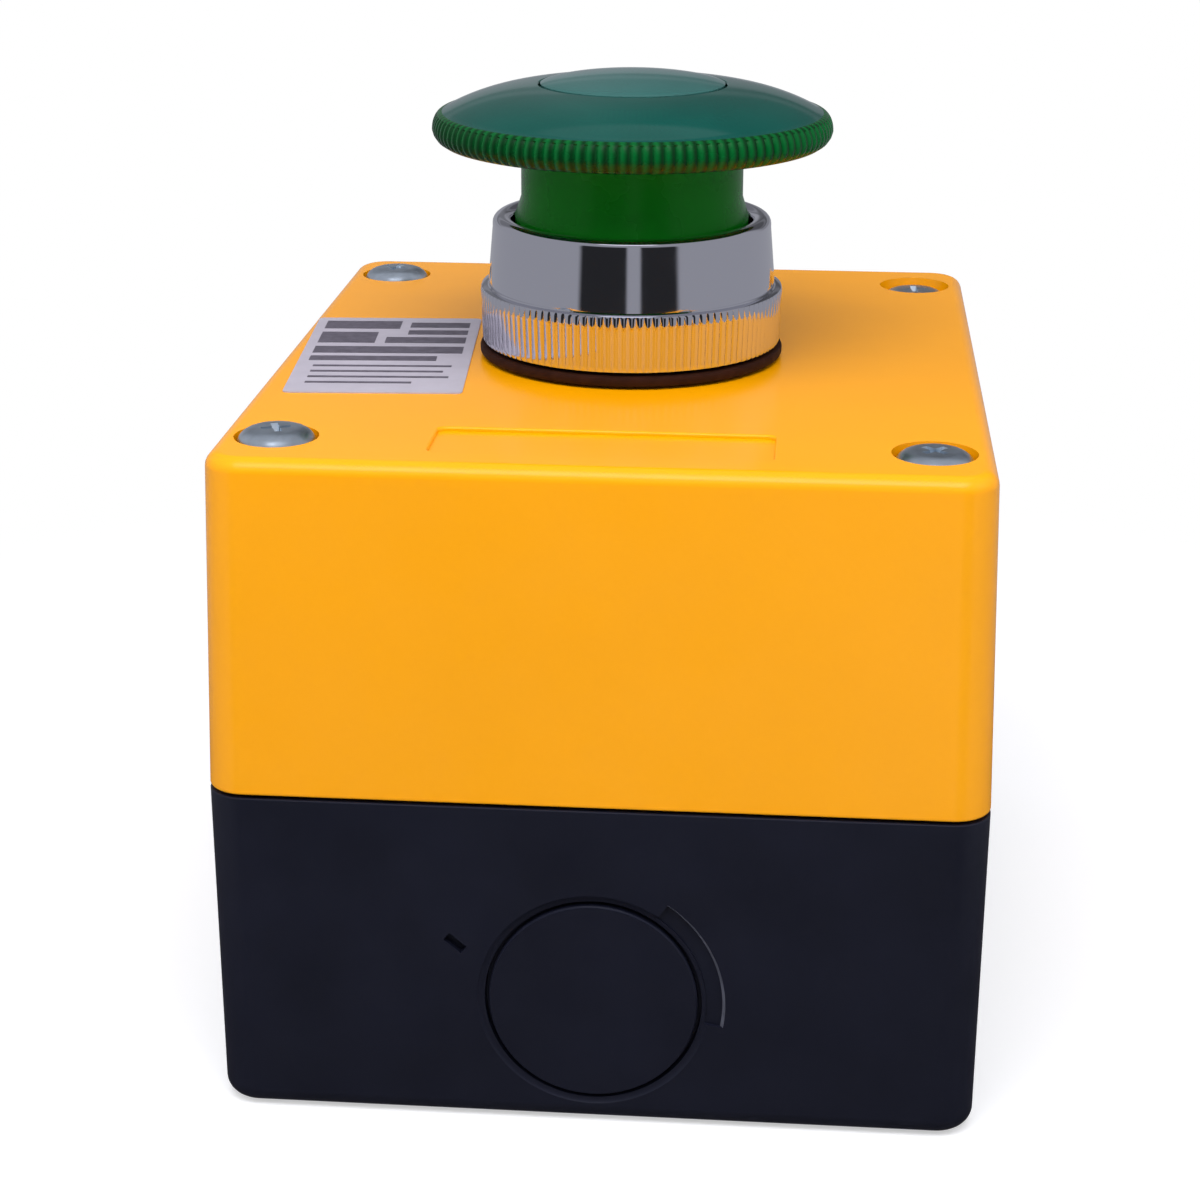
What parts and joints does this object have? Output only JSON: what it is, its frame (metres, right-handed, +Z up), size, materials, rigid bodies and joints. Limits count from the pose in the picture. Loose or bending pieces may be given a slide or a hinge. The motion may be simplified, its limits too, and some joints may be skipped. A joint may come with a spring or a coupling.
{
  "type": "push button station",
  "caption": "Two-part control box with a lit, sprung mushroom push button in a chromed bezel, contact blocks inside and a scored cable knock-out at each end.",
  "frame": {"origin": "centre of the base's underside", "axes": "+Z up along the button's axis, -Y towards the end with the knock-out that faces the user, +X to the right"},
  "size_m": [0.072, 0.086, 0.0928],
  "materials": {
    "black_plastic": "satin moulded",
    "yellow_plastic": "semi-gloss moulded",
    "green_lens": "translucent gloss moulded",
    "chrome_plate": "bright chrome plate",
    "cast_zinc": "die-cast zinc, satin",
    "plated_steel": "bright zinc plate",
    "brass": "satin",
    "nickel_plate": "nickel plate",
    "black_rubber": "matt moulded",
    "block_plastic": "matt moulded",
    "block_cover_plastic": "matt moulded",
    "plunger_plastic": "satin moulded",
    "lamp_glass": "clear glass"
  },
  "bodies": {
    "enclosure": {"base_housing": "black_plastic", "bezel": "chrome_plate", "clamp_screw_back": "plated_steel", "clamp_screw_front": "plated_steel", "cover_gasket": "black_rubber", "cover_housing": "yellow_plastic", "cover_screw_back_left": "plated_steel", "cover_screw_back_right": "plated_steel", "cover_screw_front_left": "plated_steel", "cover_screw_front_right": "plated_steel", "front_gasket": "black_rubber", "lamp_base": "nickel_plate", "lamp_block_housing": "block_plastic", "lamp_bulb": "lamp_glass", "lamp_contact_back": "brass", "lamp_contact_front": "brass", "lamp_terminal_screw_back": "plated_steel", "lamp_terminal_screw_front": "plated_steel", "mounting_collar": "cast_zinc", "nc_block_cover": "block_cover_plastic", "nc_block_housing": "block_plastic", "nc_contact_back": "brass", "nc_contact_front": "brass", "nc_spring": "plated_steel", "nc_terminal_screw_back": "plated_steel", "nc_terminal_screw_front": "plated_steel", "no_block_cover": "block_cover_plastic", "no_block_housing": "block_plastic", "no_contact_back": "brass", "no_contact_front": "brass", "no_spring": "plated_steel", "no_terminal_screw_back": "plated_steel", "no_terminal_screw_front": "plated_steel", "return_spring": "plated_steel", "screw_insert_back_left": "brass", "screw_insert_back_right": "brass", "screw_insert_front_left": "brass", "screw_insert_front_right": "brass"},
    "button": {"lens_cap": "green_lens", "lens_disc": "green_lens", "plunger_sleeve": "plunger_plastic", "retaining_ring": "plated_steel"},
    "no_carriage": {"no_plunger": "plunger_plastic", "no_bridge": "brass"},
    "nc_carriage": {"nc_plunger": "plunger_plastic", "nc_bridge": "brass"}
  },
  "joints": [
    {"name": "button_press", "type": "slide", "parent": "enclosure", "child": "button", "axis": [0, 0, -1], "range_m": [0, 0.0045], "stiffness_N_per_m": 1500, "springref_m": -0.004, "deforming": ["return_spring"]},
    {"name": "no_contact_slide", "type": "slide", "parent": "enclosure", "child": "no_carriage", "axis": [0, 0, -1], "range_m": [0, 0.0045], "stiffness_N_per_m": 300, "springref_m": -0.003, "deforming": ["no_spring"]},
    {"name": "nc_contact_slide", "type": "slide", "parent": "enclosure", "child": "nc_carriage", "axis": [0, 0, -1], "range_m": [0, 0.0045], "stiffness_N_per_m": 300, "springref_m": -0.003, "deforming": ["nc_spring"]}
  ],
  "couplings": [
    {"joint": "no_contact_slide", "follows": "button_press", "ratio": 1},
    {"joint": "nc_contact_slide", "follows": "button_press", "ratio": 1}
  ]
}
